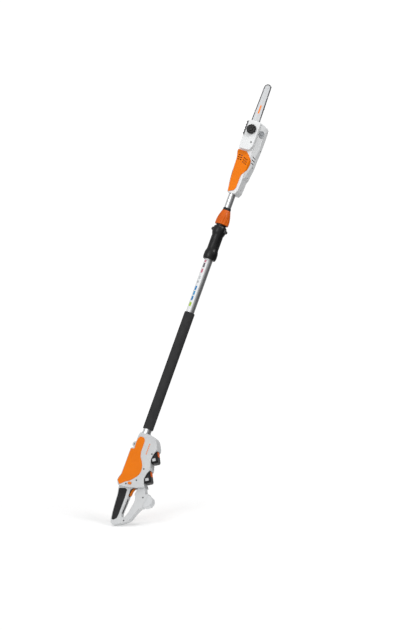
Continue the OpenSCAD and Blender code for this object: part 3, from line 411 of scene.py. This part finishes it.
# ---------------------------------------------------------------- batteries
# Two slim packs with black shells that taper at the outer end, each with an orange latch that clicks
# into its bay and a pale rating label near the end.
battery_shell = finish("battery_shell", (0.011, 0.011, 0.012), (0.007, 0.007, 0.008), (0.34, 0.5), cloud=16,
                       grain=(("noise", 1200, (1, 1, 1), 0.06), ("noise", 150, (1, 1, 1), 0.05)), scuffs=0.05,
                       shine=0.2)
label_paper = finish("battery_label", (0.62, 0.63, 0.64), (0.5, 0.51, 0.52), (0.35, 0.5), cloud=60,
                     grain=(("noise", 400, (1, 1, 1), 0.02),))
latch_orange = finish("latch_orange", (0.86, 0.15, 0.002), (0.78, 0.13, 0.001), (0.4, 0.52), cloud=30,
                      grain=(("noise", 1500, (1, 1, 1), 0.04),), shine=0.2)
bay_tilt = math.radians(28)
for name, bay_z in (("upper", 305.5), ("lower", 215.5)):
    shell = merged_copy("battery_" + name)
    mounted(shell, "battery_case_" + name, "battery_" + name, battery_shell, "black_plastic",
            "battery_" + name, sharp=30)
    latch = merged_copy("battery_" + name + "_latch")
    soften(latch, corners(latch, 1.2, lambda p: True, 60), 0.3, 2)
    mounted(latch, "battery_latch_" + name, "latch_" + name, latch_orange, "orange_plastic",
            "battery_" + name + "_latch")
    bay = Matrix.Translation((91 * MM, 0, bay_z * MM)) @ Matrix.Rotation(-bay_tilt, 4, "Y")
    for side in (-1, 1):
        label = bmesh.new()
        bmesh.ops.create_cube(label, size=1, matrix=Matrix.Translation((0, side * 23.05 * MM, 16 * MM))
                              @ Matrix.Diagonal((15 * MM, 0.3 * MM, 12 * MM, 1)))
        upright_edges = [e for e in label.edges if abs(e.verts[0].co.y - e.verts[1].co.y) > 0.1 * MM]
        soften(label, upright_edges, 2.5, 4)
        bmesh.ops.transform(label, matrix=bay, verts=label.verts)
        mounted(label, "battery_label_%s_%s" % (name, "right" if side < 0 else "left"), "battery_" + name,
                label_paper, "grey_plastic")

# ---------------------------------------------------------------- shaft tubes
# Two drawn aluminium tubes, clear anodised, with fine draw lines along them. The outer one carries a
# printed strip of plain coloured marks between the foam sleeve and the shaft lock.
drawn_aluminium = finish("drawn_aluminium", (0.80, 0.81, 0.82), (0.72, 0.73, 0.745), (0.26, 0.36), metal=1.0,
                         cloud=40,
                         spread=(1, 1, 0.03), grain=(("noise", 900, (1, 1, 0.01), 0.005),))
nodes["inner_tube"].data.materials.clear()
nodes["inner_tube"].data.materials.append(drawn_aluminium)
collar = merged_copy("end_collar")
soften(collar, corners(collar, 1.2, lambda p: True, 60), 0.6, 2)
mounted(collar, "shaft_end_collar", "control_unit", drawn_aluminium, "aluminium", "end_collar")

printed_tube = drawn_aluminium.copy()
printed_tube.name = "printed_aluminium"
tree = printed_tube.node_tree
shader = next(n for n in tree.nodes if n.type == "BSDF_PRINCIPLED")
bare = shader.inputs["Base Color"].links[0].from_socket
place = tree.nodes.new("ShaderNodeTexCoord")
axes = tree.nodes.new("ShaderNodeSeparateXYZ")
tree.links.new(place.outputs["Object"], axes.inputs[0])

round_way = sum_of(tree, "MULTIPLY", sum_of(tree, "ARCTAN2", axes.outputs["Y"], axes.outputs["X"]), 18.5 * MM)
height = axes.outputs["Z"]
strip_middle = -math.radians(104) * 18.5 * MM
painted = bare
metal = 1.0
marks = [  # middle height, half height, offset round the tube, half width in mm, colour
    (1107.5, 124, 0, 10.5, (0.82, 0.83, 0.84)),
    (1018, 9, -1.5, 6, (0.42, 0.62, 0.05)),
    (1046, 10, -2, 5, (0.02, 0.22, 0.52)),
    (1070, 9, -2, 5, (0.05, 0.32, 0.62)),
    (1093, 10, -2, 5, (0.02, 0.22, 0.52)),
    (1122, 5, -3, 5, (0.45, 0.47, 0.49)),
    (1143, 7, -1, 4, (0.55, 0.57, 0.59)),
    (1174, 9, -2, 5, (0.62, 0.16, 0.24)),
    (1200, 10, -2, 5, (0.12, 0.1, 0.12)),
    (1219, 6, -2, 5, (0.6, 0.2, 0.28)),
]
cover_of = None
for middle, half, aside, half_width, ink in marks:
    here = sum_of(tree, "MULTIPLY", within(tree, height, middle * MM, half * MM),
                  within(tree, round_way, strip_middle + aside * MM, half_width * MM))
    layer = tree.nodes.new("ShaderNodeMix")
    layer.data_type = "RGBA"
    tree.links.new(here, layer.inputs["Factor"])
    tree.links.new(painted, layer.inputs["A"])
    layer.inputs["B"].default_value = (*ink, 1)
    painted = layer.outputs["Result"]
    cover_of = cover_of or here
tree.links.new(painted, shader.inputs["Base Color"])
tree.links.new(sum_of(tree, "SUBTRACT", 1.0, cover_of), shader.inputs["Metallic"])
nodes["outer_tube"].data.materials.clear()
nodes["outer_tube"].data.materials.append(printed_tube)


# ---------------------------------------------------------------- foam sleeve
# Closed-cell EVA foam pushed over the outer tube, cut square and rounded off at both ends.
def turned(profile, steps=96):
    """Spins a closed outline of [radius, height] points (mm) round the shaft axis."""
    bm = bmesh.new()
    ring = [bm.verts.new((r * MM, 0, z * MM)) for r, z in profile]
    edges = [bm.edges.new((a, b)) for a, b in zip(ring, ring[1:] + ring[:1])]
    bmesh.ops.spin(bm, geom=ring + edges, cent=(0, 0, 0), axis=(0, 0, 1), angle=2 * math.pi, steps=steps,
                   use_merge=True)
    bmesh.ops.remove_doubles(bm, verts=bm.verts[:], dist=0.001 * MM)
    bmesh.ops.recalc_face_normals(bm, faces=bm.faces[:])
    return bm


def arc(middle_r, middle_z, radius, start, end, steps=6):
    """Points of a quarter round or less, angles in degrees from outwards."""
    turns = [math.radians(start + (end - start) * i / steps) for i in range(steps + 1)]
    return [(middle_r + radius * math.cos(a), middle_z + radius * math.sin(a)) for a in turns]


foam_r, foam_low, foam_high = 23, 440, 983
sleeve_outline = [(18.55, foam_low), *arc(foam_r - 3, foam_low + 3, 3, -90, 0)]
sleeve_outline += [(foam_r, foam_low + 3 + 53.7 * i) for i in range(1, 10)]
sleeve_outline += [*arc(foam_r - 3, foam_high - 3, 3, 0, 90), (18.55, foam_high)]
cell_foam = finish("closed_cell_foam", (0.045, 0.045, 0.046), (0.033, 0.033, 0.034), (0.78, 0.92), cloud=30,
                   grain=(("cells", 1500, (1, 1, 1), 0.16), ("noise", 220, (1, 1, 1), 0.12)), shine=0.12)
mounted(turned(sleeve_outline), "foam_sleeve", "control_unit", cell_foam, "foam", "foam_grip")

# ---------------------------------------------------------------- shaft lock
# Black nylon clamp housing bolted round the outer tube through two ears, and the orange nut that is
# turned to squeeze the collet onto the inner tube. A rubber ring above the nut wipes the tube.
lock_z, lock_r, lock_top = 1232, 25, 1386
spigot_r, bore_wall_r, outer_top = 23.4, 18.55, 1360
body_outline = [(bore_wall_r, lock_z), (lock_r + 1.5, lock_z), (lock_r + 3.4, lock_z + 3),
                (lock_r + 4.7, lock_z + 10),
                (lock_r + 5.1, lock_z + 20), (lock_r + 4.7, lock_z + 30), (lock_r + 3, lock_z + 38),
                (lock_r + 1, lock_z + 44), (lock_r, lock_z + 52), (lock_r - 0.7, lock_z + 66),
                (lock_r - 0.9, lock_z + 82), (lock_r - 0.7, lock_z + 98), (lock_r, lock_z + 111),
                (lock_r + 2, lock_z + 117), (lock_r + 4.2, lock_z + 123), (lock_r + 5.3, lock_z + 131),
                (lock_r + 5.3, lock_z + 139), (lock_r + 4.2, lock_z + 148), (lock_r + 2.4, lock_z + 152.6),
                (lock_r + 1, lock_top), (spigot_r - 1.6, lock_top), (spigot_r - 1.6, lock_top + 9),
                (spigot_r, lock_top + 9), (spigot_r, lock_top + 38), (18.6, lock_top + 38),
                (18.6, outer_top + 1), (bore_wall_r, outer_top + 1)]
clamp = turned(body_outline)
for x in (-1, 1):
    ear = bmesh.ops.create_cone(clamp, cap_ends=True, segments=40, radius1=8 * MM, radius2=8 * MM,
                                depth=26 * MM,
                                matrix=Matrix.Translation((x * 27 * MM, 0, (lock_top - 17) * MM))
                                @ Matrix.Rotation(math.pi / 2, 4, "X"))["verts"]
    rims = {e for v in ear for e in v.link_edges if abs(e.verts[0].co.y - e.verts[1].co.y) < 0.1 * MM}
    soften(clamp, list(rims), 1.2, 3)
# Moulded ribs down the barrel
barrel_ribs = 10
for k in range(barrel_ribs):
    turn = Matrix.Rotation(2 * math.pi * (k + 0.5) / barrel_ribs, 4, "Z")
    rib = bmesh.ops.create_cube(clamp, size=1,
                                matrix=turn @ Matrix.Translation((24.4 * MM, 0, (lock_z + 80) * MM))
                                @ Matrix.Diagonal((1.8 * MM, 2.2 * MM, 56 * MM, 1)))["verts"]
    soften(clamp, list({e for v in rib for e in v.link_edges}), 0.5, 2)
mounted(clamp, "shaft_clamp", "control_unit", satin_black, "black_plastic", "clamp_housing", sharp=32)

nut_z, nut_r, inner_r = lock_top + 9, 30.3, 15.5
nut_outline = [(nut_r - 1.4, nut_z), (nut_r - 0.4, nut_z + 1), (nut_r, nut_z + 3)]
nut_outline += [(nut_r - 0.02 * i, nut_z + 3 + 2.125 * i) for i in range(1, 9)]
nut_outline += [(nut_r - 0.7, nut_z + 24), (nut_r - 1.5, nut_z + 29), (nut_r - 2.6, nut_z + 34),
                (nut_r - 4, nut_z + 41), (nut_r - 5.6, nut_z + 47), (nut_r - 7.4, nut_z + 53),
                (nut_r - 9.6, nut_z + 60), (inner_r + 3.2, nut_z + 66), (inner_r + 2.4, nut_z + 67),
                (inner_r + 0.4, nut_z + 67), (inner_r + 0.4, nut_z + 55), (inner_r + 1.9, nut_z + 54),
                (19.2, nut_z + 40), (19.2, nut_z + 31), (23.5, nut_z + 30), (23.5, nut_z)]
nut = turned(nut_outline, 180)
for v in nut.verts:
    r, z = math.hypot(v.co.x, v.co.y) / MM, v.co.z / MM - nut_z
    if r > 25 and 2.5 < z < 36:
        swell = max(0.0, math.cos(12 * math.atan2(v.co.y, v.co.x))) ** 1.6
        depth = 2.6 * swell * min(1.0, (z - 2.5) / 4) * min(1.0, (36 - z) / 6)
        v.co.xy *= (r - depth) / r
deep_orange = finish("deep_orange_nylon", (0.70, 0.125, 0.002), (0.60, 0.10, 0.001), (0.38, 0.5), cloud=25,
                     grain=(("noise", 1500, (1, 1, 1), 0.035),), scuffs=0.03, shine=0.25)
mounted(nut, "lock_nut_grip", "lock_nut", deep_orange, "orange_plastic", "lock_nut", sharp=50)
wiper_rubber = finish("wiper_rubber", (0.02, 0.02, 0.021), (0.013, 0.013, 0.013), (0.5, 0.65), cloud=40,
                      grain=(("noise", 900, (1, 1, 1), 0.06),))
wiper = turned([(15.95, nut_z + 67), (18.2, nut_z + 67), (18, nut_z + 70), (17.2, nut_z + 72),
                (17.2, nut_z + 74),
                (17.9, nut_z + 75.5), (17.2, nut_z + 78), (16.4, nut_z + 79), (15.95, nut_z + 79)])
mounted(wiper, "tube_wiper", "lock_nut", wiper_rubber, "grip_rubber", "wiper_ring")

# ---------------------------------------------------------------- saw head shells
# Nylon in two halves that close over the motor and the gears, a shade whiter than the handle's.
head_white = finish("head_white_nylon", (0.80, 0.81, 0.815), (0.755, 0.765, 0.775), (0.3, 0.44), cloud=15,
                     grain=(("noise", 1400, (1, 1, 1), 0.012), ("noise", 150, (1, 1, 1), 0.02)), scuffs=0.05)
for side in ("right", "left"):
    shell = merged_copy("head_shell_" + side)
    rims = corners(shell, 5, lambda p: abs(p.y) > 0.5 and p.z > 1541, 30)
    split_big(shell)
    soften(shell, [e for e in rims if e.is_valid], 1.6, 4)
    # Rounding may leave a corner proud of the flat far face
    for v in shell.verts:
        v.co.y = min(v.co.y, cad_high[1])
    mounted(shell, "moulded_head_" + side, "saw_shaft", head_white, "shell_plastic", "head_shell_" + side)

# Orange cooling cover over the motor, wrapped onto the slanting corner, with its air slots cut through
vented = merged_copy("motor_cover")
soften(vented, corners(vented, 1.6, lambda p: True, 50), 0.6, 3)
mounted(vented, "motor_cooling_cover", "saw_shaft", orange, "orange_plastic", "motor_cover")

# ---------------------------------------------------------------- sprocket cover and knob
# White cover over the drive sprocket, pressed on by the black knob, and the toothed bumper strip that
# steadies the saw against a branch.
drive_cover = merged_copy("sprocket_cover")
soften(drive_cover, corners(drive_cover, 3, lambda p: p.y < -43.9, 50), 2.2, 4)
mounted(drive_cover, "drive_cover", "saw_shaft", head_white, "shell_plastic", "sprocket_cover")
# Blackened set screw in the cover's lower corner
plug = turned([(0, 0.6), (0.7, 0.6), (0.9, 1.1), (3.1, 1.1), (3.4, 0.8), (3.4, -0.6), (0, -0.6)], 40)
bmesh.ops.transform(plug, matrix=Matrix.Translation((17.4 * MM, -44.2 * MM, 1777.6 * MM))
                    @ Matrix.Rotation(math.pi / 2, 4, "X"), verts=plug.verts)
mounted(plug, "cover_set_screw", "saw_shaft", satin_black, "black_plastic")
spikes = merged_copy("bumper_spikes")
soften(spikes, corners(spikes, 1, lambda p: True, 30), 0.4, 2)
painted_steel = finish("painted_steel", (0.035, 0.035, 0.037), (0.022, 0.022, 0.023), (0.35, 0.55), cloud=35,
                       grain=(("noise", 700, (1, 1, 1), 0.06),), scuffs=0.3)
mounted(spikes, "branch_spikes", "saw_shaft", painted_steel, "spike_steel", "bumper_spikes")

knob_z, knob_back = 1833, -44.4
knob = turned([(4.06, 0), (18, 0), (19.6, 0.6), (20.8, 2), (21.6, 3.4), (22, 5), (22, 7.4), (21.6, 8.8),
               (20.8, 9.8), (19.6, 10.4), (18.4, 10.2), (17.4, 9.2), (16.8, 8.4), (9.2, 8.4), (8.2, 9.4),
               (7.6, 11.2), (6.4, 12), (0.6, 12), (0.6, 5), (4.06, 5)], 144)
for v in knob.verts:
    r, z = math.hypot(v.co.x, v.co.y) / MM, v.co.z / MM
    if r > 19:
        swell = max(0.0, math.cos(12 * math.atan2(v.co.y, v.co.x))) ** 2
        v.co.xy *= (r - 1.5 * swell * (r - 19) / 3) / r
grip_bar = bmesh.ops.create_cube(knob, size=1, matrix=Matrix.Rotation(math.radians(55), 4, "Z")
                                 @ Matrix.Translation((0, 0, 9.9 * MM))
                                 @ Matrix.Diagonal((37 * MM, 7 * MM, 4 * MM, 1)))["verts"]
soften(knob, list({e for v in grip_bar for e in v.link_edges}), 0.9, 3)
bmesh.ops.transform(knob, matrix=Matrix.Translation((0, knob_back * MM, knob_z * MM))
                    @ Matrix.Rotation(math.pi / 2, 4, "X"), verts=knob.verts)
mounted(knob, "cover_knob_grip", "cover_knob", satin_black, "black_plastic", "cover_knob", sharp=45)

# ---------------------------------------------------------------- oil cap
# Grey bayonet cap of the chain oil tank, dished, with a bar across it for the fingers.
cap_grey = finish("cap_grey_nylon", (0.40, 0.415, 0.43), (0.35, 0.365, 0.38), (0.38, 0.52), cloud=30,
                  grain=(("noise", 1200, (1, 1, 1), 0.05),), scuffs=0.1)
cap = turned([(0, -11.6), (14.6, -11.6), (15, -11.2), (15, 1.6), (14.7, 2.5), (14, 3), (13, 2.9), (12.2, 2.2),
              (11.4, 1), (10, 0.7), (0, 0.6)], 96)
finger_bar = bmesh.ops.create_cube(cap, size=1, matrix=Matrix.Translation((0, 0, 1.6 * MM))
                                   @ Matrix.Diagonal((4.5 * MM, 22 * MM, 2.4 * MM, 1)))["verts"]
soften(cap, list({e for v in finger_bar for e in v.link_edges}), 0.7, 3)
cap_slant = math.atan2(30, 17) - math.pi / 2
bmesh.ops.transform(cap, matrix=Matrix.Translation((38.5 * MM, -11 * MM, 1829 * MM))
                    @ Matrix.Rotation(cap_slant, 4, "Z") @ Matrix.Rotation(math.pi / 2, 4, "Y"),
                    verts=cap.verts)
mounted(cap, "oil_filler_cap", "oil_cap", cap_grey, "grey_plastic", "oil_cap")

# ---------------------------------------------------------------- bar and chain
# Laminated steel bar with a plain printed patch near its foot, ground along its rails, and a low
# profile chain of blued links with brighter cutters.
bar_steel = finish("ground_bar_steel", (0.55, 0.56, 0.57), (0.49, 0.50, 0.51), (0.42, 0.46), metal=0.7,
                   cloud=60,
                   spread=(1, 1, 0.06), grain=(("noise", 700, (1, 1, 0.03), 0.006),), scuffs=0.04)
marked_steel = printed(bar_steel, "printed_bar_steel", (0.80, 0.22, 0.03), [(0, 3.4, 1931, 19)])
bar = merged_copy("guide_bar")
soften(bar, corners(bar, 1.0, lambda p: abs(p.y + 33) > 1.9, 60), 0.35, 2)
mounted(bar, "ground_guide_bar", "bar", marked_steel, "bar_steel", "guide_bar")

chain_blue = finish("blued_chain_steel", (0.075, 0.075, 0.08), (0.04, 0.04, 0.043), (0.3, 0.5), metal=0.9,
                    cloud=90,
                    grain=(("noise", 900, (1, 1, 1), 0.03),), scuffs=0.2)
cutter_plate = finish("plated_cutter_steel", (0.24, 0.24, 0.25), (0.15, 0.15, 0.16), (0.18, 0.34), metal=1.0,
                      cloud=120,
                      grain=(("noise", 900, (1, 1, 1), 0.02),))

# ---------------------------------------------------------------- metal and electrical parts inside
# Screws, pins, gears, motor, board, contacts and leads keep their CAD shapes and get their own finishes.
bright_steel = finish("turned_steel", (0.62, 0.62, 0.63), (0.5, 0.5, 0.51), (0.2, 0.34), metal=1.0, cloud=60,
                      grain=(("noise", 800, (1, 1, 1), 0.02),))
black_screw = finish("blackened_screw_steel", (0.055, 0.055, 0.06), (0.035, 0.035, 0.038), (0.32, 0.5),
                     metal=0.7, cloud=120, grain=(("noise", 900, (1, 1, 1), 0.03),), scuffs=0.2)
gear_steel = finish("sintered_gear_steel", (0.4, 0.4, 0.41), (0.28, 0.28, 0.29), (0.34, 0.5), metal=1.0,
                    cloud=90,
                    grain=(("noise", 1100, (1, 1, 1), 0.05),))
motor_can = finish("motor_can", (0.2, 0.2, 0.21), (0.13, 0.13, 0.14), (0.35, 0.5), metal=0.6, cloud=50,
                   grain=(("noise", 600, (1, 1, 1), 0.05),))
board_green = finish("circuit_board", (0.02, 0.16, 0.05), (0.012, 0.1, 0.035), (0.25, 0.4), cloud=220,
                     grain=(("cells", 300, (1, 1, 1), 0.03),))
brass = finish("contact_brass", (0.72, 0.5, 0.2), (0.6, 0.4, 0.15), (0.24, 0.4), metal=1.0, cloud=120,
               grain=(("noise", 800, (1, 1, 1), 0.02),))
lead_rubber = finish("lead_rubber", (0.02, 0.02, 0.02), (0.013, 0.013, 0.013), (0.5, 0.62), cloud=60,
                     grain=(("noise", 500, (1, 1, 1), 0.05),))
cell_wrap = finish("cell_wrap", (0.03, 0.14, 0.42), (0.02, 0.1, 0.32), (0.2, 0.3), cloud=40,
                   grain=(("noise", 300, (1, 1, 1), 0.03),), coat=0.2)
tank_white = finish("tank_polyethylene", (0.76, 0.74, 0.62), (0.7, 0.68, 0.56), (0.4, 0.5), cloud=25,
                    grain=(("noise", 500, (1, 1, 1), 0.06),))
for look, kept in (
    (chain_blue, ("drive_links", "tie_straps", "chain_rivets", "nose_sprocket")),
    (cutter_plate, ("cutters",)),
    (bright_steel, ("pivot_pins", "bar_stud", "idler_pin", "spindle_bearings", "trigger_spring")),
    (black_screw, ("case_screws", "bay_screws", "head_screws", "clamp_bolt")),
    (gear_steel, ("idler_gear", "drive_gear", "drive_sprocket", "motor_rotor")),
    (motor_can, ("motor_stator",)),
    (board_green, ("control_board",)),
    (brass, ("bay_contacts",)),
    (lead_rubber, ("board_lead", "coiled_lead", "head_lead")),
    (satin_black, ("trigger_switch", "collet", "glide_bush")),
    (cell_wrap, ("battery_upper_cells", "battery_lower_cells")),
    (tank_white, ("oil_tank",)),
):
    for node in kept:
        nodes[node].data.materials.clear()
        nodes[node].data.materials.append(look)

bpy.context.view_layer.update()
